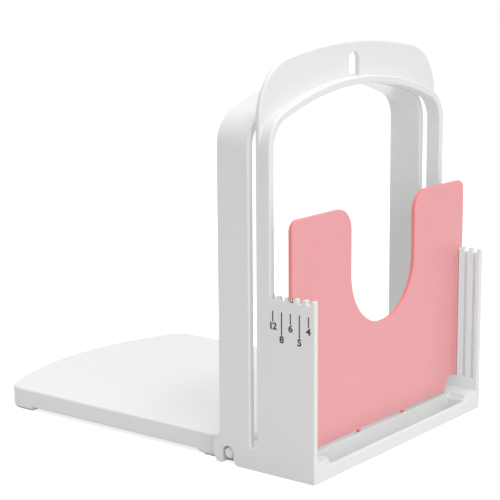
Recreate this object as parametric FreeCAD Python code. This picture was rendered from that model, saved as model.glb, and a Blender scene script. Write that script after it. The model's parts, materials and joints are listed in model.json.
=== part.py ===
"""Bread slicer guide: a knife arch on a grooved base, a folding bread board and a lift-out thickness plate.

Sizes are in millimetres. +X runs along the loaf from the board to the plate, +Y across it, +Z up.
The origin lies on the table, under the middle of the whole guide.
"""
import math
import os

import FreeCAD
import Part

V = FreeCAD.Vector

# ---- layout along the loaf, measured from the middle of the knife ----
end_reach = 34.7            # to the end face of the base
rear_reach = 21.0           # to the rear face of the rear arch
leg_reach = 9.7             # to the front face of the front legs
hinge_reach = 15.8          # to the hinge axis
slit_rear = 2.5             # to the rear arch
slit_front = 1.7            # to the front arch

# ---- arch ----
half_width = 75.7           # half the width over the side faces
wall = 3.7                  # thickness of the arch seen from the front
slit_bottom = 10.8          # height where the knife stops
opening_top = 176.4
opening_corner = 14.0
opening_crown = 180.0       # radius of the shallow top curve
crown_rise = 16.7           # crown plate above the top of the front arch
crown_corner = 27.0
crown_radius = 290.0
crown_thick = 2.4
edge_round = 0.8            # soft moulded edge
slit_round = 0.4            # crisper edge where the front arch faces the knife
slot_width = 8.8            # hanging slot in the crown plate
slot_height = 11.9

# ---- base ----
floor_top = 9.7
floor_thick = 2.0
floor_rear = 9.6            # middle of the knife to the rear edge of the floor
floor_drop = 0.8            # shallow recess of the floor under the plate
pit_start = 24.0            # middle of the knife to the near edge of the open pit
ledge_width = 13.5          # side face to the inner edge of the side ledge
step_width = 1.1            # narrow step below each side ledge
step_drop = 2.7
rim_thick = 1.8
rim_top = 6.5
rim_inset = 0.4             # inner edge of the ledge to the foot of the rim's slope
rim_slope = 1.7             # width of that slope
rim_round = 0.6
rib_thick = 1.8

# ---- hinge ----
hinge_z = 5.6
pin_radius = 2.6
pin_chamfer = 0.6
pin_recess = 0.4            # end of each pin below the side face
socket_radius = 3.5
ear_radius = 11.1
ear_ahead = 2.3             # centre of the round ear in front of the hinge axis
ear_lift = 1.4              # and above it
ear_bottom = 0.5
socket_foot_round = 3.0     # rounded foot beside the socket

# ---- groove walls ----
wall_top = 86.1
groove_wall = 2.75          # thickness of the wall at its ribs
groove_width = 1.8
groove_depth = 1.35
groove_bottom = 16.4
notch_width = 3.0           # lead-in slot at the top of each groove
notch_depth = 2.3
notch_round = 0.8
tooth_round = 0.4
first_slice = 10.0
slice_step = 5.0
slice_count = 5

# ---- thickness plate ----
plate_thick = 2.4
plate_groove = 2            # groove it stands in, counted from the knife, from 0
plate_overhang = 0.3        # edge of the plate outside the side faces
plate_top = 121.5
plate_gap = 0.6             # lower edge of the plate above the floor
shoulder_drop = 0.7         # shoulders below the tops of the walls
shoulder_slant = 4.3        # height of the slant under each shoulder
shoulder_corner = 1.8
panel_inset = 6.1           # edge of the full-thickness panel inside the ribs
tongue_gap = 0.5            # tongue to the floor of its groove
tongue_thick = 1.2
cut_inset = 1.0             # cut lower corners inside the side ledges
cut_rise = 1.0              # cut lower corners above the ends of the grooves
cut_corner = 5.0
plate_corner = 5.0
tab_corner = 11.0           # rounded corner beside the hand notch
hand_half = 28.0
hand_bottom = 61.0
foot_y = 20.0
foot_width = 1.4
foot_edge = 0.6             # round along the lower front edge of the plate

# ---- bread board ----
board_gap = 0.7             # play between the folded board and the arch
board_corner = 12.5
board_crown = 155.0         # radius of the tip of the board
board_top = 11.4
board_bottom = 2.0
board_plate = 2.0
board_skirt = 2.0
board_top_round = 1.0
board_foot_round = 1.2
board_foot_width = 6.0
board_foot_root = 2.5       # feet reach up into the hollow of the board
tip_foot = 33.8             # tip of the board to the inner end of the feet near it
hinge_foot = 19.6           # hinge axis to the far end of the feet near it
hinge_foot_slope = 3.2      # length of the slope at that end
board_rib_y = 24.0
board_rib_thick = 1.6
knuckle_reach = 5.1         # board end beyond the hinge axis, and sole of the feet below it
pad_inset = 0.9             # pads inside the edges of the feet
pad_end = 1.0               # play between the hinge axis and the pads near it

# ---- printed scale ----
tick_width = 0.55
tick_gap = 7.2              # tops of the lines below the top of the wall
tick_short = 4.9
tick_long = 10.7
print_thick = 0.12

# ---- places that follow from these sizes ----
board_length = opening_top - board_gap - hinge_z
crown_top = opening_top + wall + crown_rise
knife_x = (hinge_reach + board_length - end_reach) / 2.0
hinge_x = knife_x - hinge_reach
rib_half = half_width - groove_wall
ledge_half = half_width - ledge_width
pit_half = ledge_half - step_width
groove_x = [knife_x + first_slice + slice_step * number + plate_thick / 2.0 for number in range(slice_count)]


def box(x0, x1, y0, y1, z0, z1):
    """Box between two corners."""
    return Part.makeBox(x1 - x0, y1 - y0, z1 - z0, V(x0, y0, z0))


def cylinder_y(x, z, radius, y0, y1):
    """Round bar along Y."""
    return Part.makeCylinder(radius, y1 - y0, V(x, y0, z), V(0, 1, 0))


def prism(points, direction):
    """Straight-sided solid from a flat loop of points."""
    loop = Part.makePolygon(points + [points[0]])
    return Part.Face(loop).extrude(direction)


def both_sides(shape):
    """The shape and its mirror image on the other side of the middle."""
    return shape.fuse(shape.mirror(V(0, 0, 0), V(0, 1, 0)))


def arch_prism(half, corner, crown, top, bottom, x0, x1):
    """Solid arch outline: straight sides, two rounded corners and a shallow round top."""
    crown_z = top - crown
    side_y = half - corner
    side_z = crown_z + math.sqrt((crown - corner) ** 2 - side_y ** 2)
    lean = math.atan2(side_y, side_z - crown_z)
    meet_y = crown * math.sin(lean)
    meet_z = crown_z + crown * math.cos(lean)
    half_turn = (math.pi / 2.0 + lean) / 2.0
    mid_y = side_y + corner * math.sin(half_turn)
    mid_z = side_z + corner * math.cos(half_turn)
    edges = [
        Part.makeLine(V(x0, half, bottom), V(x0, half, side_z)),
        Part.Arc(V(x0, half, side_z), V(x0, mid_y, mid_z), V(x0, meet_y, meet_z)).toShape(),
        Part.Arc(V(x0, meet_y, meet_z), V(x0, 0, top), V(x0, -meet_y, meet_z)).toShape(),
        Part.Arc(V(x0, -meet_y, meet_z), V(x0, -mid_y, mid_z), V(x0, -half, side_z)).toShape(),
        Part.makeLine(V(x0, -half, side_z), V(x0, -half, bottom)),
        Part.makeLine(V(x0, -half, bottom), V(x0, half, bottom)),
    ]
    return Part.Face(Part.Wire(edges)).extrude(V(x1 - x0, 0, 0))


def flat_edges(shape, x, lowest):
    """Edges that lie in the plane at x and reach above the given height."""
    found = []
    for edge in shape.Edges:
        ends = edge.BoundBox
        if abs(ends.XMin - x) < 0.01 and abs(ends.XMax - x) < 0.01 and ends.ZMax > lowest + 0.01:
            found.append(edge)
    return found


def upright_edges(shape, x):
    """Upright edges that stand in the plane at x."""
    found = []
    for edge in shape.Edges:
        ends = edge.BoundBox
        if ends.XLength < 0.01 and ends.YLength < 0.01 and abs(ends.XMin - x) < 0.01:
            found.append(edge)
    return found


def opening_prism(x0, x1, shrink=0.0, bottom=slit_bottom):
    """The arch opening as a solid, made smaller all round by shrink."""
    return arch_prism(half_width - wall - shrink, opening_corner - shrink, opening_crown - shrink,
                      opening_top - shrink, bottom, x0, x1)


def outer_prism(x0, x1):
    """The arch with its opening filled."""
    return arch_prism(half_width, opening_corner + wall, opening_crown + wall,
                      opening_top + wall, slit_bottom, x0, x1)


def make_ear(z0, z1):
    """Round ear behind the hinge, between two heights."""
    ear = cylinder_y(hinge_x + ear_ahead, hinge_z + ear_lift, ear_radius, half_width - wall, half_width)
    return ear.common(box(hinge_x - 2 * ear_radius, hinge_x, 0, half_width + 1, z0, z1))


def make_rear_arch():
    """Arch behind the knife, with the tops of the hinge ears."""
    x0 = knife_x - rear_reach
    x1 = knife_x - slit_rear
    arch = outer_prism(x0, x1).cut(opening_prism(x0 - 1, x1 + 1, bottom=slit_bottom - 1))
    rims = flat_edges(arch, x0, slit_bottom) + flat_edges(arch, x1, slit_bottom)
    arch = arch.makeFillet(edge_round, rims)
    ear = make_ear(slit_bottom, slit_bottom + ear_radius)
    return arch.fuse(both_sides(ear)).removeSplitter()


def make_front_arch():
    """Arch in front of the knife, with the tall crown plate and its hanging slot."""
    x0 = knife_x + slit_front
    x_crown = x0 + crown_thick
    x1 = knife_x + leg_reach
    ring = outer_prism(x0, x1).cut(opening_prism(x0 - 1, x1 + 1, bottom=slit_bottom - 1))
    ring = ring.makeFillet(edge_round, flat_edges(ring, x1, slit_bottom))
    ring = ring.makeFillet(slit_round, flat_edges(ring, x0, slit_bottom))
    crown = arch_prism(half_width, crown_corner, crown_radius, crown_top, slit_bottom, x0, x_crown)
    crown = crown.makeFillet(edge_round, flat_edges(crown, x_crown, slit_bottom))
    crown = crown.makeFillet(slit_round, flat_edges(crown, x0, slit_bottom))
    crown = crown.cut(opening_prism(x0 - 1, x_crown + 1, shrink=-wall / 2.0, bottom=slit_bottom - 1))
    arch = ring.fuse(crown)
    joint = box(x1 - 2.0 * edge_round, x1, half_width - wall, half_width, slit_bottom, wall_top)
    arch = arch.fuse(both_sides(joint))
    slot_radius = slot_width / 2.0
    slot_low = opening_top + wall
    slot_high = slot_low + slot_height - slot_radius
    slot = box(x0 - 1, x_crown + 1, -slot_radius, slot_radius, slot_low, slot_high)
    slot = slot.fuse(Part.makeCylinder(slot_radius, crown_thick + 2, V(x0 - 1, 0, slot_high), V(1, 0, 0)))
    return arch.cut(slot).removeSplitter()


def make_groove_wall(side):
    """Side wall in front of the arch, with a rib on each side of every groove."""
    x0 = knife_x + leg_reach
    x1 = knife_x + end_reach
    skin = rib_half + groove_depth
    shape = box(x0, x1, rib_half, half_width, slit_bottom, wall_top)
    shape = shape.makeFillet(edge_round, upright_edges(shape, x1))
    for x in groove_x:
        groove = box(x - groove_width / 2.0, x + groove_width / 2.0, rib_half - 1, skin,
                     groove_bottom, wall_top + 1)
        low = wall_top - notch_depth
        notch = box(x - notch_width / 2.0, x + notch_width / 2.0, rib_half - 1, half_width + 1,
                    low, wall_top + 1)
        lowest = [edge for edge in notch.Edges
                  if edge.BoundBox.ZMax < low + 0.01 and edge.BoundBox.YLength > 1]
        shape = shape.cut(groove).cut(notch.makeFillet(notch_round, lowest))
    shape = shape.removeSplitter()
    teeth = []
    for edge in shape.Edges:
        ends = edge.BoundBox
        flat = ends.ZMax - ends.ZMin < 0.01 and abs(ends.ZMax - wall_top) < 0.01
        if flat and ends.XMax - ends.XMin < 0.01 and ends.XMax > x0 + 0.1:
            teeth.append(edge)
    shape = shape.makeFillet(tooth_round, teeth)
    if side < 0:
        shape = shape.mirror(V(0, 0, 0), V(0, 1, 0))
    return shape


def make_base_tray():
    """Low base: side plates with hinge ears, floor, open pit and end rim."""
    x_rear = knife_x - rear_reach
    x_end = knife_x + end_reach
    inner = half_width - wall
    under = floor_top - floor_thick
    x_floor = knife_x - floor_rear
    x_leg = knife_x + leg_reach
    x_pit = knife_x + pit_start
    x_rim = x_end - rim_thick

    side = box(x_rear, x_end, inner, half_width, 0, slit_bottom)
    outer_edge = [edge for edge in upright_edges(side, x_end) if edge.BoundBox.YMin > inner + wall / 2.0]
    side = side.makeFillet(edge_round, outer_edge).fuse(make_ear(0, slit_bottom))
    side = side.cut(box(hinge_x - 2 * ear_radius, hinge_x, inner - 1, half_width + 1, -1, ear_bottom))
    socket = cylinder_y(hinge_x, hinge_z, socket_radius, inner - 1, half_width + 1)
    socket = socket.fuse(box(hinge_x - socket_radius, hinge_x + socket_radius,
                             inner - 1, half_width + 1, -1, hinge_z))
    side = side.cut(socket)
    foot_x = hinge_x + socket_radius
    corner = box(foot_x - 1, foot_x + socket_foot_round, inner - 1, half_width + 1,
                 -1, socket_foot_round)
    corner = corner.cut(cylinder_y(foot_x + socket_foot_round, socket_foot_round,
                                   socket_foot_round, inner - 2, half_width + 2))
    side = side.cut(corner)
    side = side.cut(box(x_leg, x_end + 1, inner - 1, rib_half, floor_top, slit_bottom + 1))
    tray = both_sides(side)

    tray = tray.fuse(box(x_floor, x_pit, -inner, inner, under, floor_top))
    tray = tray.fuse(box(x_floor, x_floor + rib_thick, -inner, inner, 0, floor_top))
    tray = tray.fuse(box(x_pit - rib_thick, x_pit, -inner, inner, 0, floor_top))
    tray = tray.cut(box(x_leg, x_pit + 1, -pit_half, pit_half, floor_top - floor_drop, floor_top + 1))
    tray = tray.fuse(both_sides(box(x_pit, x_rim, ledge_half, inner, under, floor_top)))
    tray = tray.fuse(both_sides(box(x_pit, x_rim, ledge_half, ledge_half + rib_thick, 0, floor_top)))
    tray = tray.fuse(both_sides(box(x_pit, x_rim, pit_half, ledge_half, 0, floor_top - step_drop)))
    rim_end = inner + wall / 4.0
    rim_low = ledge_half + rim_inset
    rim_high = rim_low + rim_slope
    outline = [
        V(x_rim, rim_end, 0),
        V(x_rim, rim_end, floor_top),
        V(x_rim, rim_high, floor_top),
        V(x_rim, rim_low, rim_top),
        V(x_rim, -rim_low, rim_top),
        V(x_rim, -rim_high, floor_top),
        V(x_rim, -rim_end, floor_top),
        V(x_rim, -rim_end, 0),
    ]
    rim = prism(outline, V(rim_thick, 0, 0))
    top_edges = [edge for edge in flat_edges(rim, x_end, rim_top - 0.1)
                 if edge.BoundBox.ZMin > rim_top - 0.1]
    rim = rim.makeFillet(rim_round, top_edges)
    return tray.fuse(rim).removeSplitter()


def board_prism(x0, x1, shrink=0.0):
    """The board's outline as a solid that stands folded up in the arch, made smaller by shrink."""
    return arch_prism(half_width - wall - board_gap - shrink, board_corner - shrink, board_crown - shrink,
                      opening_top - board_gap - shrink, hinge_z, x0, x1)


def swing_down(shape):
    """Turns a shape that was drawn folded up, so that it lies on the table."""
    shape.rotate(V(hinge_x, 0, hinge_z), V(0, 1, 0), -90)
    return shape


def foot_space(inset):
    """Room of the two feet on one side with their pads, drawn folded up and made smaller by inset."""
    x_table = hinge_x - hinge_z
    x_bottom = x_table + board_bottom
    x_root = x_bottom + board_foot_root
    y0 = half_width - wall - board_gap - board_foot_width + inset
    tip_z = opening_top - board_gap - tip_foot + inset
    slope_z = hinge_z + hinge_foot - inset
    profile = [
        V(x_table, y0, hinge_z),
        V(x_table, y0, slope_z),
        V(hinge_x - knuckle_reach, y0, slope_z),
        V(x_bottom, y0, slope_z + hinge_foot_slope),
        V(x_root, y0, slope_z + hinge_foot_slope),
        V(x_root, y0, hinge_z),
    ]
    room = prism(profile, V(0, half_width - y0, 0))
    return room.fuse(box(x_table, x_root, y0, half_width, tip_z, opening_top))


def make_board():
    """Bread board with four feet, drawn folded up inside the rear arch and then swung down."""
    x_top = hinge_x + board_top - hinge_z
    x_bottom = hinge_x - (hinge_z - board_bottom)
    x_sole = hinge_x - knuckle_reach
    half = half_width - wall - board_gap
    slab = board_prism(x_bottom, x_top)
    slab = slab.makeFillet(board_top_round, flat_edges(slab, x_top, hinge_z))
    slab = slab.makeFillet(board_foot_round, flat_edges(slab, x_bottom, hinge_z))
    hollow = board_prism(x_bottom - 1, x_top - board_plate, board_skirt)
    hollow = hollow.common(box(x_bottom - 1, x_top, -half, half, hinge_z + knuckle_reach, opening_top))
    slab = slab.cut(hollow)
    rib = box(x_bottom + board_skirt, x_top - board_plate,
              board_rib_y - board_rib_thick / 2.0, board_rib_y + board_rib_thick / 2.0,
              hinge_z + knuckle_reach, opening_top - 4 * board_skirt)
    slab = slab.fuse(both_sides(rib))

    end = cylinder_y(hinge_x, hinge_z, x_top - hinge_x, -half, half)
    end = end.common(box(hinge_x, x_top + 1, -half - 1, half + 1, hinge_z - knuckle_reach, hinge_z))
    heel = cylinder_y(hinge_x, hinge_z, knuckle_reach, -half, half)
    end = end.fuse(heel.common(box(x_bottom, hinge_x, -half - 1, half + 1, hinge_z - knuckle_reach, hinge_z)))
    slab = slab.fuse(end)

    sole = board_prism(x_sole, x_bottom + board_foot_root)
    sole = sole.makeFillet(board_foot_round, flat_edges(sole, x_sole, hinge_z))
    feet = sole.common(foot_space(0))
    heel = cylinder_y(hinge_x, hinge_z, knuckle_reach, half - board_foot_width, half)
    heel = heel.common(box(x_sole, hinge_x, 0, half + 1, hinge_z - knuckle_reach, hinge_z))
    slab = slab.fuse(both_sides(feet.fuse(heel)))

    pin_tip = half_width - pin_recess
    pin = cylinder_y(hinge_x, hinge_z, pin_radius, half - 1, pin_tip)
    pin_end = [edge for edge in pin.Edges if abs(edge.BoundBox.YMin - pin_tip) < 0.01]
    pin = pin.makeChamfer(pin_chamfer, pin_end)
    return swing_down(slab.fuse(both_sides(pin)).removeSplitter())


def make_pad(at_tip, side):
    """Thin soft pad under one foot of the board."""
    x_sole = hinge_x - knuckle_reach
    split = (hinge_z + opening_top) / 2.0
    low = split if at_tip else hinge_z + pad_end
    high = opening_top if at_tip else split
    pad = board_prism(hinge_x - hinge_z, x_sole, pad_inset)
    pad = pad.common(foot_space(pad_inset))
    pad = pad.common(box(hinge_x - hinge_z, x_sole, 0, half_width, low, high))
    if side < 0:
        pad = pad.mirror(V(0, 0, 0), V(0, 1, 0))
    return swing_down(pad)


def corner_edges(shape, half, height):
    """Edges through the thickness of the plate at one height and half width."""
    found = []
    for edge in shape.Edges:
        ends = edge.BoundBox
        flat = ends.YLength < 0.01 and ends.ZLength < 0.01
        if flat and abs(abs(ends.YMin) - half) < 0.01 and abs(ends.ZMin - height) < 0.01:
            found.append(edge)
    return found


def make_plate():
    """Plate that sets the slice thickness: tongues in the grooves, shoulders on the walls."""
    x = groove_x[plate_groove]
    x0 = x - plate_thick / 2.0
    x1 = x + plate_thick / 2.0
    plate_half = half_width + plate_overhang
    plate_bottom = floor_top + plate_gap
    shoulder_z = wall_top - shoulder_drop
    panel_half = rib_half - panel_inset
    tongue_half = rib_half + groove_depth - tongue_gap
    cut_half = ledge_half - cut_inset
    cut_top = groove_bottom + cut_rise
    profile = [
        V(x0, panel_half, plate_bottom),
        V(x0, panel_half, shoulder_z - shoulder_slant),
        V(x0, tongue_half, shoulder_z),
        V(x0, plate_half, shoulder_z),
        V(x0, plate_half, plate_top),
        V(x0, 0, plate_top),
        V(x0, 0, plate_bottom),
    ]
    plate = both_sides(prism(profile, V(plate_thick, 0, 0)))
    hand_z = hand_bottom + hand_half
    hand = box(x0 - 1, x1 + 1, -hand_half, hand_half, hand_z, plate_top + 1)
    hand = hand.fuse(Part.makeCylinder(hand_half, plate_thick + 2, V(x0 - 1, 0, hand_z), V(1, 0, 0)))
    plate = plate.cut(hand).removeSplitter()
    plate = plate.makeFillet(tab_corner, corner_edges(plate, hand_half, plate_top))
    plate = plate.makeFillet(plate_corner, corner_edges(plate, plate_half, plate_top))
    plate = plate.makeFillet(shoulder_corner, corner_edges(plate, plate_half, shoulder_z))
    lower_edge = [edge for edge in flat_edges(plate, x1, plate_bottom - 0.1)
                  if edge.BoundBox.ZMax < plate_bottom + 0.1]
    plate = plate.makeFillet(foot_edge, lower_edge)
    tongue = box(x - tongue_thick / 2.0, x + tongue_thick / 2.0, panel_half - 1, tongue_half,
                 plate_bottom, shoulder_z)
    plate = plate.fuse(both_sides(tongue))
    cut = box(x0 - 1, x1 + 1, cut_half, plate_half, plate_bottom - 1, cut_top)
    cut = cut.makeFillet(cut_corner, corner_edges(cut, cut_half, cut_top))
    plate = plate.cut(both_sides(cut))
    foot = box(x0, x1, foot_y - foot_width / 2.0, foot_y + foot_width / 2.0,
               floor_top - floor_drop, plate_bottom + foot_edge)
    return plate.fuse(both_sides(foot)).removeSplitter()


def make_scale():
    """Printed line under every groove; every other line is long."""
    marks = []
    tick_top = wall_top - tick_gap
    for number, x in enumerate(groove_x):
        length = tick_long if number % 2 else tick_short
        marks.append(box(x - tick_width / 2.0, x + tick_width / 2.0,
                         -half_width - print_thick, -half_width, tick_top - length, tick_top))
    return Part.makeCompound(marks)


nodes = {
    "base_tray": make_base_tray(),
    "rear_arch": make_rear_arch(),
    "front_arch": make_front_arch(),
    "left_groove_wall": make_groove_wall(-1),
    "right_groove_wall": make_groove_wall(1),
    "bread_board": make_board(),
    "left_tip_pad": make_pad(True, -1),
    "right_tip_pad": make_pad(True, 1),
    "left_hinge_pad": make_pad(False, -1),
    "right_hinge_pad": make_pad(False, 1),
    "thickness_plate": make_plate(),
    "scale_marks": make_scale(),
}

os.makedirs("parts", exist_ok=True)
for name, shape in nodes.items():
    shape.exportStep("parts/" + name + ".step")
    size = shape.BoundBox
    print(name, shape.isValid(), len(shape.Solids), round(shape.Volume, 1),
          [round(value, 2) for value in (size.XMin, size.XMax, size.YMin, size.YMax, size.ZMin, size.ZMax)])
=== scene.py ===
import json
import math

import bmesh
import bpy
from bpy.props import FloatProperty, FloatVectorProperty, PointerProperty
from bpy.types import Operator, Panel, PropertyGroup
from mathutils import Matrix, Vector


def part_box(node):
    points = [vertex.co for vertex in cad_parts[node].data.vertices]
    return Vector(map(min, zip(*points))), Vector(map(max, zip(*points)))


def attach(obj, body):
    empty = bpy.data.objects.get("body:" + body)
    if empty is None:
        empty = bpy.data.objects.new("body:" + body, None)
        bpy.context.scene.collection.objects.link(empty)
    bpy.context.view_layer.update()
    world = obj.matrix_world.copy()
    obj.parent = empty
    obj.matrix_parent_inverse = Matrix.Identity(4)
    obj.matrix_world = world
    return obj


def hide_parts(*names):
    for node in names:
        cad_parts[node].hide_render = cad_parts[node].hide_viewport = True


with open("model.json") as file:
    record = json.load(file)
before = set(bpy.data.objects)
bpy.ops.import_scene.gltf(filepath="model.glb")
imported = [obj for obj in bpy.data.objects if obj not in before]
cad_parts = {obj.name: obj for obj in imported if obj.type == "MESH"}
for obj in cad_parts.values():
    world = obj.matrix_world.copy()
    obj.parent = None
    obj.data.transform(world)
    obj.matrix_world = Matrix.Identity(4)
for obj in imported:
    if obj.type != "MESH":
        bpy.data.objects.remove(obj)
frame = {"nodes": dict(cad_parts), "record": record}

bl_info = {
    "name": "Bread slicer guide",
    "version": (1, 0, 0),
    "blender": (4, 5, 0),
    "location": "3D View > Sidebar > Bread slicer",
    "description": "Moulded pieces, print and studio for a folding bread slicer guide",
    "category": "Object",
}

MM = 0.001
WELD = 0.001 * MM                       # vertices nearer than this are one
SHARP_CORNER = math.radians(32)         # corners above this stay crisp

# ---- places that the solids give ----
TRAY_LOW, TRAY_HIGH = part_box("base_tray")
WALL_LOW, WALL_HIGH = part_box("right_groove_wall")
PLATE_LOW, PLATE_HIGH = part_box("thickness_plate")
SCALE_LOW, SCALE_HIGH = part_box("scale_marks")

HALF = TRAY_HIGH[1]                     # side faces
KNIFE_X = TRAY_HIGH[0] - 34.7 * MM      # middle of the knife
WALL_TOP = WALL_HIGH[2]
RIB_HALF = WALL_LOW[1]                  # inner faces of the groove walls
LEDGE_HALF = HALF - 13.5 * MM           # inner edges of the side ledges
FLOOR_TOP = 9.7 * MM
GROOVE_DEPTH = 1.35 * MM
GROOVE_BOTTOM = 16.4 * MM
PLATE_X = (PLATE_LOW[0] + PLATE_HIGH[0]) / 2
GROOVE_STEP = 5.0 * MM
GROOVE_XS = [PLATE_X + GROOVE_STEP * number for number in (-2, -1, 0, 1, 2)]


# ------------------------------------------------------------------ settings

class FrameSettings(PropertyGroup):
    colour: FloatVectorProperty(name="Colour", description="Colour of the white mouldings, as sRGB",
                                default=(0.945, 0.945, 0.943), size=3, subtype="COLOR_GAMMA", min=0, max=1)
    roughness: FloatProperty(name="Roughness",
                             description="Roughness of the satin skin of the white mouldings",
                             default=0.3, min=0.05, max=0.95, subtype="FACTOR")


class PlateSettings(PropertyGroup):
    edge_round: FloatProperty(name="Edge rounding", description="Radius around the rim of the plate",
                              default=0.55 * MM, min=0.1 * MM, max=1.1 * MM, unit="LENGTH")
    hand_radius: FloatProperty(name="Hand notch radius", description="Radius of the notch for the hand",
                               default=28.0 * MM, min=15 * MM, max=40 * MM, unit="LENGTH")
    colour: FloatVectorProperty(name="Colour", description="Colour of the plate's faces, as sRGB",
                                default=(0.955, 0.645, 0.660), size=3, subtype="COLOR_GAMMA", min=0, max=1)
    # painted light: a deeper, lighter colour for the thin edges, standing in for the light the translucent
    # plate gathers there
    painted_edge_glow: FloatVectorProperty(name="Edge colour",
                                     description="Deeper colour of the thin edges, as sRGB",
                                     default=(0.990, 0.560, 0.570), size=3, subtype="COLOR_GAMMA",
                                     min=0, max=1)
    # painted shade: a darker copy of the face colour for the tongues, for the shade in the recess behind
    # the panel
    tongue_shade_colour: FloatVectorProperty(name="Tongue colour",
                                       description="Colour of the thin tongues, as sRGB",
                                       default=(0.930, 0.590, 0.608), size=3, subtype="COLOR_GAMMA",
                                       min=0, max=1)


class PadSettings(PropertyGroup):
    colour: FloatVectorProperty(name="Colour", description="Colour of the soft pads, as sRGB",
                                default=(0.78, 0.77, 0.73), size=3, subtype="COLOR_GAMMA", min=0, max=1)


class PrintSettings(PropertyGroup):
    digit_height: FloatProperty(name="Digit height", description="Height of the printed numbers",
                                default=3.3 * MM, min=2 * MM, max=6 * MM, unit="LENGTH")
    line_width: FloatProperty(name="Line width", description="Width of the printed lines",
                              default=0.55 * MM, min=0.2 * MM, max=1.5 * MM, unit="LENGTH")
    colour: FloatVectorProperty(name="Colour", description="Colour of the pad-printed ink, as sRGB",
                                default=(0.235, 0.188, 0.18), size=3, subtype="COLOR_GAMMA", min=0, max=1)


class StudioSettings(PropertyGroup):
    lens: FloatProperty(name="Lens", description="Focal length of the camera in millimetres",
                        default=111.42, min=20, max=300)
    fill: FloatProperty(name="Fill light", description="Strength of the even light from all round",
                        default=0.36, min=0, max=2)
    top_power: FloatProperty(name="Top lamp", description="Power of the lamp overhead in watts",
                             default=13.2, min=0, max=50, unit="POWER")
    end_power: FloatProperty(name="End lamp", description="Power of the lamp beyond the plate in watts",
                             default=6.5, min=0, max=50, unit="POWER")


# ------------------------------------------------------------------ colours and materials

def linear(colour):
    """sRGB colour, as a hex string or three numbers, as linear RGBA."""
    if isinstance(colour, str):
        colour = [int(colour[place:place + 2], 16) / 255.0 for place in (0, 2, 4)]
    return (*[c / 12.92 if c <= 0.04045 else ((c + 0.055) / 1.055) ** 2.4 for c in colour], 1.0)


def node(tree, kind, settings=(), links=()):
    """Adds a node with its settings and its incoming links, each (socket, from node, from socket)."""
    made = tree.nodes.new(kind)
    for key, value in dict(settings).items():
        if isinstance(key, str) and hasattr(made, key):
            setattr(made, key, value)
        else:
            made.inputs[key].default_value = value
    for socket, source, output in links:
        tree.links.new(source.outputs[output], made.inputs[socket])
    return made


def empty_material(name):
    material = bpy.data.materials.new(name)
    material.use_nodes = True
    material.node_tree.nodes.clear()
    return material, material.node_tree


def scaled(colour, factor):
    """A linear colour made a little lighter or darker."""
    return (*[min(c * factor, 1.0) for c in colour[:3]], 1.0)


def moulded_abs(name, colour, painted_edge_glow, roughness, texture_mm, cast=0.0, glow=0.0):
    """Injection-moulded ABS: an even satin skin that keeps the spark-eroded texture of its tool.

    Slow flow shading hardly shows. Faces that turn away from the X axis take the second colour:
    painted light, a deeper and lighter glow standing in for the light that a translucent moulding
    gathers in its thin edges. The real texture is about 0.1 mm and is drawn coarser to show.
    The larger cast is, the less colour the plastic throws on its neighbours. Glow is the share of
    light that spreads below the skin.
    """
    material, tree = empty_material(name)
    place = node(tree, "ShaderNodeTexCoord")
    flow_mm = 55.0
    flow = node(tree, "ShaderNodeTexNoise", {"Scale": 1000.0 / flow_mm, "Detail": 2.0},
                [("Vector", place, "Object")])
    face = node(tree, "ShaderNodeMix",
                {"data_type": "RGBA", 6: scaled(colour, 1.015), 7: scaled(colour, 0.985)},
                [("Factor", flow, "Fac")])
    # painted glow: faces whose normal turns away from X, the thin edges, are mixed towards the edge colour
    turned = node(tree, "ShaderNodeSeparateXYZ", (), [("Vector", place, "Normal")])
    flat = node(tree, "ShaderNodeMath", {"operation": "ABSOLUTE"}, [(0, turned, "X")])
    side = node(tree, "ShaderNodeMapRange", {"From Min": 0.35, "From Max": 0.97}, [("Value", flat, 0)])
    tint = node(tree, "ShaderNodeMix", {"data_type": "RGBA", 6: painted_edge_glow},
                [("Factor", side, "Result"), (7, face, 2)])
    grain = node(tree, "ShaderNodeTexNoise",
                 {"Scale": 1000.0 / texture_mm, "Detail": 3.0, "Roughness": 0.6},
                 [("Vector", place, "Object")])
    skin = node(tree, "ShaderNodeBump", {"Strength": 0.12, "Distance": 0.02 * MM},
                [("Height", grain, "Fac")])
    satin = node(tree, "ShaderNodeMapRange", {"To Min": roughness - 0.03, "To Max": roughness + 0.03},
                 [("Value", grain, "Fac")])
    path = node(tree, "ShaderNodeLightPath")
    passed = node(tree, "ShaderNodeMath", {"operation": "MAXIMUM"},
                  [(0, path, "Is Diffuse Ray"), (1, path, "Is Glossy Ray")])
    pale = node(tree, "ShaderNodeMath", {"operation": "MULTIPLY", 1: cast}, [(0, passed, 0)])
    calm = node(tree, "ShaderNodeMix", {"data_type": "RGBA", 7: linear("E6E2E2")},
                [("Factor", pale, 0), (6, tint, 2)])
    shader = node(tree, "ShaderNodeBsdfPrincipled",
                  {"IOR": 1.53, "Subsurface Weight": glow, "Subsurface Radius": (1.0, 0.35, 0.35),
                   "Subsurface Scale": 2.5 * MM},
                  [("Base Color", calm, 2), ("Normal", skin, "Normal"), ("Roughness", satin, "Result")])
    node(tree, "ShaderNodeOutputMaterial", (), [("Surface", shader, "BSDF")])
    return material


def white_abs():
    """White ABS of the frame and the board."""
    frame_settings = bpy.context.scene.slicer_frame
    colour = linear(frame_settings.colour)
    return moulded_abs("white_moulded_abs", colour, colour, frame_settings.roughness, 0.9)


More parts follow.
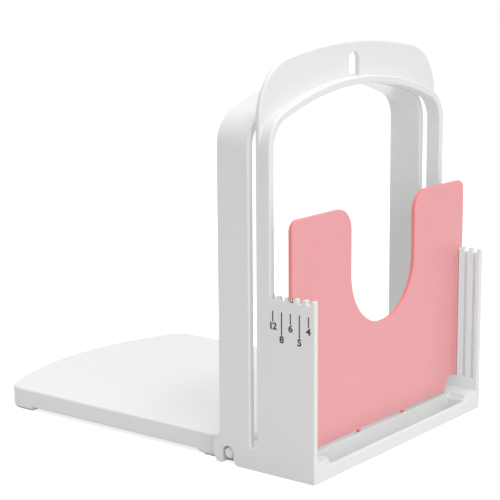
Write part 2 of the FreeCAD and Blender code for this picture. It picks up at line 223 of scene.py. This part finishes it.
def pink_abs():
    """Pink ABS of the plate, slightly translucent, with painted light: its thin edges get a deeper, lighter
    colour as painted glow, and its tongues a darker copy of the pink as painted shade.
    """
    plate = bpy.context.scene.slicer_plate
    # painted shade: the tongues get a darker copy of the pink
    tongue = linear(plate.tongue_shade_colour)
    face = linear(plate.colour)
    roughness, texture_mm, cast, glow = 0.33, 0.9, 0.95, 0.25
    # painted glow for the thin edges of the translucent plate
    edge = linear(plate.painted_edge_glow)
    return (moulded_abs("pink_moulded_abs", face, edge, roughness, texture_mm, cast, glow),
            moulded_abs("pink_moulded_abs_shaded_tongue", tongue, tongue, roughness, texture_mm, cast))


def soft_tpe(colour):
    """Thermoplastic elastomer of the pads: matt, faintly dusty and a little uneven."""
    material, tree = empty_material("soft_tpe_pad")
    place = node(tree, "ShaderNodeTexCoord")
    dust_mm = 2.5
    dust = node(tree, "ShaderNodeTexNoise", {"Scale": 1000.0 / dust_mm, "Detail": 4.0},
                [("Vector", place, "Object")])
    tint = node(tree, "ShaderNodeMix",
                {"data_type": "RGBA", 6: scaled(colour, 1.04), 7: scaled(colour, 0.93)},
                [("Factor", dust, "Fac")])
    skin = node(tree, "ShaderNodeBump", {"Strength": 0.2, "Distance": 0.05 * MM}, [("Height", dust, "Fac")])
    shader = node(tree, "ShaderNodeBsdfPrincipled", {"Roughness": 0.7, "IOR": 1.5, "Sheen Weight": 0.1},
                  [("Base Color", tint, 2), ("Normal", skin, "Normal")])
    node(tree, "ShaderNodeOutputMaterial", (), [("Surface", shader, "BSDF")])
    return material


def pad_printed_ink(colour):
    """Pad-printed ink: a thin matt film whose density varies slightly from the silicone pad."""
    material, tree = empty_material("pad_printed_ink")
    place = node(tree, "ShaderNodeTexCoord")
    mottle_mm = 0.8
    mottle = node(tree, "ShaderNodeTexNoise", {"Scale": 1000.0 / mottle_mm, "Detail": 3.0},
                  [("Vector", place, "Object")])
    tint = node(tree, "ShaderNodeMix", {"data_type": "RGBA", 6: colour, 7: scaled(colour, 1.5)},
                [("Factor", mottle, "Fac")])
    shader = node(tree, "ShaderNodeBsdfPrincipled", {"Roughness": 0.55, "IOR": 1.5},
                  [("Base Color", tint, 2)])
    node(tree, "ShaderNodeOutputMaterial", (), [("Surface", shader, "BSDF")])
    return material


# ------------------------------------------------------------------ modelling

def draw_outline(bm, axis, start, steps, fine=math.radians(5)):
    """Draws a closed outline from one vertex and fills it.

    A step is a point to run straight to, or a pair of a centre and an angle in degrees to turn
    through about the axis.
    """
    pen = bm.verts.new(start)
    for step in steps:
        if len(step) == 2:
            centre, degrees = step
            angle = math.radians(degrees)
            count = max(3, round(abs(angle) / fine))
            made = bmesh.ops.spin(bm, geom=[pen], cent=centre, axis=axis, dvec=(0, 0, 0),
                                  angle=angle, steps=count, use_merge=False, use_normal_flip=False,
                                  use_duplicate=False)
            pen = [item for item in made["geom_last"] if isinstance(item, bmesh.types.BMVert)][0]
        else:
            pen = bmesh.ops.extrude_vert_indiv(bm, verts=[pen])["verts"][0]
            pen.co = Vector(step)
    bmesh.ops.remove_doubles(bm, verts=bm.verts, dist=WELD)
    return bmesh.ops.contextual_create(bm, geom=bm.edges[:])["faces"][0]


def thicken(bm, face, way):
    """Extrudes a flat face into a closed solid with its faces outwards."""
    made = bmesh.ops.extrude_face_region(bm, geom=[face])
    moved = [item for item in made["geom"] if isinstance(item, bmesh.types.BMVert)]
    bmesh.ops.translate(bm, verts=moved, vec=way)
    bmesh.ops.recalc_face_normals(bm, faces=bm.faces[:])


def edges_at(bm, **planes):
    """Edges whose both ends lie in the given planes, such as x=0.05."""
    found = []
    for edge in bm.edges:
        if all(abs(getattr(vert.co, name) - value) < 0.002 * MM
               for vert in edge.verts for name, value in planes.items()):
            found.append(edge)
    return found


def round_edges(bm, edges, radius, segments=4):
    bmesh.ops.bevel(bm, geom=edges, offset=radius, offset_type="OFFSET", segments=segments, profile=0.5,
                    affect="EDGES", clamp_overlap=False, material=-1)


def block(x0, x1, y0, y1, z0, z1):
    """Plain closed block between two corners."""
    bm = bmesh.new()
    bmesh.ops.create_cube(bm, size=1.0)
    bmesh.ops.scale(bm, verts=bm.verts, vec=(x1 - x0, y1 - y0, z1 - z0))
    bmesh.ops.translate(bm, verts=bm.verts, vec=((x0 + x1) / 2, (y0 + y1) / 2, (z0 + z1) / 2))
    return bm


def mirrored(bm):
    """A copy on the other side of the middle."""
    twin = bm.copy()
    bmesh.ops.scale(twin, verts=twin.verts, vec=(1, -1, 1))
    bmesh.ops.reverse_faces(twin, faces=twin.faces[:])
    return twin


def as_object(name, bm, finishes=()):
    """Turns a bmesh into an object and frees it."""
    mesh = bpy.data.meshes.new(name)
    bm.to_mesh(mesh)
    bm.free()
    for finish in finishes:
        mesh.materials.append(finish)
    piece = bpy.data.objects.new(name, mesh)
    bpy.context.scene.collection.objects.link(piece)
    return piece


def moulded(name, bodies, body, replaced, finishes):
    """Joins closed bodies into one moulding and finishes it as a piece of the object."""
    piece = as_object(name, bodies[0], finishes)
    group = bpy.data.collections.new(name + "_bodies")
    bpy.context.scene.collection.children.link(group)
    helpers = []
    for shape in bodies[1:]:
        tool = as_object(name + "_tool", shape, finishes)
        bpy.context.scene.collection.objects.unlink(tool)
        group.objects.link(tool)
        helpers.append(tool)
    join = piece.modifiers.new("join", "BOOLEAN")
    join.operation = "UNION"
    join.operand_type = "COLLECTION"
    join.collection = group
    join.solver = "EXACT"
    bpy.context.view_layer.update()
    graph = bpy.context.evaluated_depsgraph_get()
    mesh = bpy.data.meshes.new_from_object(piece.evaluated_get(graph))
    piece.modifiers.clear()
    piece.data = mesh
    for tool in helpers:
        bpy.data.objects.remove(tool)
    bpy.data.collections.remove(group)
    bm = bmesh.new()
    bm.from_mesh(mesh)
    bmesh.ops.remove_doubles(bm, verts=bm.verts, dist=0.002 * MM)
    bmesh.ops.dissolve_limit(bm, angle_limit=math.radians(0.2), verts=bm.verts, edges=bm.edges,
                             delimit={"MATERIAL"})
    open_edges = [edge for edge in bm.edges if len(edge.link_faces) != 2]
    bm.to_mesh(mesh)
    bm.free()
    if not mesh.polygons or open_edges:
        raise RuntimeError(f"{name} did not come out closed: {len(open_edges)} open edges")
    finish_piece(piece, body, replaced)


def finish_piece(piece, body, replaced):
    """Smooth shading with crisp corners, and the piece's place in the object."""
    piece.data.shade_smooth()
    piece.data.set_sharp_from_angle(angle=SHARP_CORNER)
    even = piece.modifiers.new("even_normals", "WEIGHTED_NORMAL")
    even.keep_sharp = True
    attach(piece, body)
    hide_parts(*replaced)


# ------------------------------------------------------------------ operators

class SLICER_OT_thickness_plate(Operator):
    """Make the plate that sets the slice thickness"""
    bl_idname = "slicer.thickness_plate"
    bl_label = "Thickness plate"

    def execute(self, context):
        sizes = context.scene.slicer_plate
        x0, x1 = PLATE_LOW[0], PLATE_HIGH[0]
        half, top = PLATE_HIGH[1], PLATE_HIGH[2]
        bottom = FLOOR_TOP + 0.6 * MM                   # just clear of the floor
        shoulder = WALL_TOP - 0.7 * MM                  # shoulders over the groove walls
        slant = 4.3 * MM                                # below each shoulder
        panel = RIB_HALF - 6.1 * MM                     # edge of the full-thickness panel
        tongue = RIB_HALF + GROOVE_DEPTH - 0.5 * MM     # tongues in their grooves
        tongue_half_thick = 0.6 * MM
        cut_half = LEDGE_HALF - 1.0 * MM                # lower corners, clear of the ledges
        cut_top = GROOVE_BOTTOM + 1.0 * MM
        hand = sizes.hand_radius
        hand_z = 61.0 * MM + hand                       # centre of the round end of the notch
        tab, corner, lip, cut_round = 11.0 * MM, 5.0 * MM, 1.8 * MM, 5.0 * MM
        foot_y0, foot_y1 = 19.3 * MM, 20.7 * MM         # small feet on the floor
        overlap = 1.0 * MM                              # of bodies that are joined
        bm = bmesh.new()
        right = [
            ((x0, hand, top - tab), ((x0, hand + tab, top - tab), -90)),
            ((x0, half - corner, top), ((x0, half - corner, top - corner), -90)),
            ((x0, half, shoulder + lip), ((x0, half - lip, shoulder + lip), -90)),
        ]
        steps = [((x0, 0, hand_z), 90)]
        for point, turn in right:
            steps += [point, turn]
        steps += [
            (x0, tongue, shoulder),
            (x0, panel, shoulder - slant),
            (x0, panel, cut_top),
            (x0, cut_half + cut_round, cut_top),
            ((x0, cut_half + cut_round, cut_top - cut_round), 90),
            (x0, cut_half, bottom),
            (x0, 0, bottom),
            (x0, 0, hand_z - hand),
        ]
        face = draw_outline(bm, (1, 0, 0), (x0, 0, hand_z - hand), steps)
        twin = bmesh.ops.duplicate(bm, geom=[face] + face.edges[:] + face.verts[:])["geom"]
        twin_verts = [item for item in twin if isinstance(item, bmesh.types.BMVert)]
        bmesh.ops.scale(bm, verts=twin_verts, vec=(1, -1, 1))
        bmesh.ops.remove_doubles(bm, verts=bm.verts, dist=WELD)
        middle = edges_at(bm, y=0.0)
        bmesh.ops.dissolve_edges(bm, edges=middle, use_verts=True)
        bm.faces.ensure_lookup_table()
        thicken(bm, bm.faces[0], (x1 - x0, 0, 0))
        round_edges(bm, edges_at(bm, x=x0) + edges_at(bm, x=x1), sizes.edge_round)
        bodies = [bm]
        mid = (x0 + x1) / 2
        tongue_body = block(mid - tongue_half_thick, mid + tongue_half_thick, panel - 2 * MM, tongue,
                            cut_top, shoulder + 0.5 * MM)
        # the tongues take the darker copy of the pink, painted shade for the recess behind the panel
        for side in tongue_body.faces:
            side.material_index = 1
        foot_body = block(x0 + 0.3 * MM, x1, foot_y0, foot_y1, PLATE_LOW[2], bottom + overlap)
        for part in (tongue_body, foot_body):
            bodies += [part, mirrored(part)]
        moulded("pink_thickness_plate", bodies, "plate", ["thickness_plate"], pink_abs())
        return {"FINISHED"}


class SLICER_OT_printed_scale(Operator):
    """Make the printed lines and numbers under the grooves"""
    bl_idname = "slicer.printed_scale"
    bl_label = "Printed scale"

    def execute(self, context):
        sizes = context.scene.slicer_print
        line_top = SCALE_HIGH[2]
        short, long = 4.9 * MM, line_top - SCALE_LOW[2]
        below = 2.2 * MM                        # end of a line to the middle of its number
        capital_share = 0.73                    # height of a digit in this font of size 1
        boldness, width = 0.034, 1.1
        face_y, back_y = SCALE_LOW[1], -HALF + 0.02 * MM
        bm = bmesh.new()
        for number, (x, text) in enumerate(zip(GROOVE_XS, ("12", "8", "6", "5", "4"))):
            length = long if number % 2 else short
            line = block(x - sizes.line_width / 2, x + sizes.line_width / 2, face_y, back_y,
                         line_top - length, line_top)
            mesh = bpy.data.meshes.new("line")
            line.to_mesh(mesh)
            line.free()
            bm.from_mesh(mesh)
            bpy.data.meshes.remove(mesh)
            digits = bpy.data.curves.new("digits", "FONT")
            digits.body = text
            digits.align_x = "CENTER"
            digits.align_y = "CENTER"
            digits.size = sizes.digit_height / capital_share
            digits.space_character = 0.85
            digits.offset = sizes.digit_height * boldness
            digits.extrude = (back_y - face_y) / 2
            carrier = bpy.data.objects.new("digits", digits)
            context.scene.collection.objects.link(carrier)
            mesh = bpy.data.meshes.new_from_object(carrier)
            centre = (x, (face_y + back_y) / 2, line_top - length - below)
            stand = Matrix.Rotation(math.radians(90), 4, "X") @ Matrix.Diagonal((width, 1.0, 1.0, 1.0))
            mesh.transform(Matrix.Translation(centre) @ stand)
            bm.from_mesh(mesh)
            bpy.data.objects.remove(carrier)
            bpy.data.meshes.remove(mesh)
        piece = as_object("printed_scale", bm, [pad_printed_ink(linear(sizes.colour))])
        finish_piece(piece, "frame", ["scale_marks"])
        return {"FINISHED"}


def dress(slot, material):
    """Gives every solid of a material slot its finish."""
    names = [part["node"] for part in frame["record"]["subparts"] if part["material_slot"] == slot]
    if not names:
        raise RuntimeError(f"no solid has the slot {slot}")
    for name in names:
        finish = frame["nodes"][name].data.materials
        finish.clear()
        finish.append(material)


class SLICER_OT_white_mouldings(Operator):
    """Give the frame and the board their white plastic"""
    bl_idname = "slicer.white_mouldings"
    bl_label = "White mouldings"

    def execute(self, context):
        dress("white_plastic", white_abs())
        return {"FINISHED"}


class SLICER_OT_soft_pads(Operator):
    """Give the four pads under the board their soft elastomer"""
    bl_idname = "slicer.soft_pads"
    bl_label = "Soft pads"

    def execute(self, context):
        dress("pad", soft_tpe(linear(context.scene.slicer_pads.colour)))
        return {"FINISHED"}


class SLICER_OT_studio(Operator):
    """Set the camera, the lamps, the white surroundings and the floor"""
    bl_idname = "slicer.studio"
    bl_label = "Studio"

    def execute(self, context):
        scene = context.scene
        settings = scene.slicer_studio
        scene.view_settings.view_transform = "Standard"
        place_camera(scene, settings)
        light_world(scene, settings.fill)
        add_lamp(scene, "top_lamp", (0.1, 0.0, 1.4), (0, 0, 0.05), 1.2, settings.top_power)
        add_lamp(scene, "end_lamp", (1.25, -0.5, 0.5), (0, 0, 0.08), 1.0, settings.end_power)
        lay_floor(settings.fill)
        return {"FINISHED"}


def place_camera(scene, settings):
    data = bpy.data.cameras.new("camera")
    data.sensor_width = 36.0
    data.lens = settings.lens
    data.clip_start = 0.05
    data.clip_end = 20.0
    eye = bpy.data.objects.new("camera", data)
    scene.collection.objects.link(eye)
    scene.camera = eye
    yaw, pitch, roll = -0.659, 0.198, -0.007
    ahead = Vector((math.sin(yaw) * math.cos(pitch), math.cos(yaw) * math.cos(pitch), -math.sin(pitch)))
    side = Vector((math.cos(yaw), -math.sin(yaw), 0.0))
    up = side.cross(ahead)
    right = side * math.cos(roll) + up * math.sin(roll)
    top = up * math.cos(roll) - side * math.sin(roll)
    turn = Matrix((right, top, -ahead)).transposed().to_4x4()
    place = Vector((KNIFE_X + 422.98 * MM, -623.97 * MM, 244.84 * MM))
    eye.matrix_world = Matrix.Translation(place) @ turn


def seen_directly(tree):
    """1 for rays that show a surface to the camera, straight or in a reflection or through glass."""
    path = node(tree, "ShaderNodeLightPath")
    first = node(tree, "ShaderNodeMath", {"operation": "MAXIMUM"},
                 [(0, path, "Is Camera Ray"), (1, path, "Is Glossy Ray")])
    return node(tree, "ShaderNodeMath", {"operation": "MAXIMUM"},
                [(0, first, 0), (1, path, "Is Transmission Ray")])


def light_world(scene, fill):
    world = bpy.data.worlds.new("studio")
    scene.world = world
    world.use_nodes = True
    tree = world.node_tree
    tree.nodes.clear()
    seen = seen_directly(tree)
    lit = node(tree, "ShaderNodeBackground", {"Color": (1, 1, 1, 1), "Strength": fill})
    shown = node(tree, "ShaderNodeBackground", {"Color": (1, 1, 1, 1), "Strength": 1.0})
    both = node(tree, "ShaderNodeMixShader", (), [(0, seen, 0), (1, lit, 0), (2, shown, 0)])
    node(tree, "ShaderNodeOutputWorld", (), [("Surface", both, 0)])


def add_lamp(scene, name, place, target, size, power):
    data = bpy.data.lights.new(name, "AREA")
    data.size = size
    data.energy = power
    lamp = bpy.data.objects.new(name, data)
    scene.collection.objects.link(lamp)
    lamp.location = place
    lamp.rotation_mode = "QUATERNION"
    lamp.rotation_quaternion = (Vector(target) - Vector(place)).to_track_quat("-Z", "Y")


def lay_floor(fill):
    """White paper floor: matt, and lifted to white where the camera sees it, so only the shadow shows."""
    bm = bmesh.new()
    bmesh.ops.create_grid(bm, x_segments=1, y_segments=1, size=6.0)
    floor = as_object("floor", bm)
    material, tree = empty_material("white_paper_floor")
    seen = seen_directly(tree)
    paper = linear("DADADA")
    lift = node(tree, "ShaderNodeMath", {"operation": "MULTIPLY", 1: 1.0 - paper[0] * fill}, [(0, seen, 0)])
    glow = node(tree, "ShaderNodeEmission", {"Color": (1, 1, 1, 1)}, [("Strength", lift, 0)])
    matt = node(tree, "ShaderNodeBsdfDiffuse", {"Color": paper})
    both = node(tree, "ShaderNodeAddShader", (), [(0, glow, 0), (1, matt, 0)])
    node(tree, "ShaderNodeOutputMaterial", (), [("Surface", both, 0)])
    floor.data.materials.append(material)


class SLICER_PT_panel(Panel):
    """Lists the pieces of the bread slicer guide"""
    bl_label = "Bread slicer guide"
    bl_idname = "SLICER_PT_panel"
    bl_space_type = "VIEW_3D"
    bl_region_type = "UI"
    bl_category = "Bread slicer"

    def draw(self, context):
        for operator in OPERATORS:
            self.layout.operator(operator.bl_idname)
        for name in SETTINGS:
            settings = getattr(context.scene, name)
            for key in type(settings).__annotations__:
                self.layout.prop(settings, key)


SETTINGS = {
    "slicer_frame": FrameSettings,
    "slicer_plate": PlateSettings,
    "slicer_pads": PadSettings,
    "slicer_print": PrintSettings,
    "slicer_studio": StudioSettings,
}
OPERATORS = (
    SLICER_OT_white_mouldings,
    SLICER_OT_soft_pads,
    SLICER_OT_thickness_plate,
    SLICER_OT_printed_scale,
    SLICER_OT_studio,
)


def register():
    for item in (*SETTINGS.values(), *OPERATORS, SLICER_PT_panel):
        bpy.utils.register_class(item)
    for name, group in SETTINGS.items():
        setattr(bpy.types.Scene, name, PointerProperty(type=group))


def unregister():
    for name in SETTINGS:
        delattr(bpy.types.Scene, name)
    for item in reversed((*SETTINGS.values(), *OPERATORS, SLICER_PT_panel)):
        bpy.utils.unregister_class(item)


def main():
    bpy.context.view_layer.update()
    register()
    bpy.ops.slicer.white_mouldings()
    bpy.ops.slicer.soft_pads()
    bpy.ops.slicer.thickness_plate()
    bpy.ops.slicer.printed_scale()
    bpy.ops.slicer.studio()


if __name__ == "__main__":
    main()
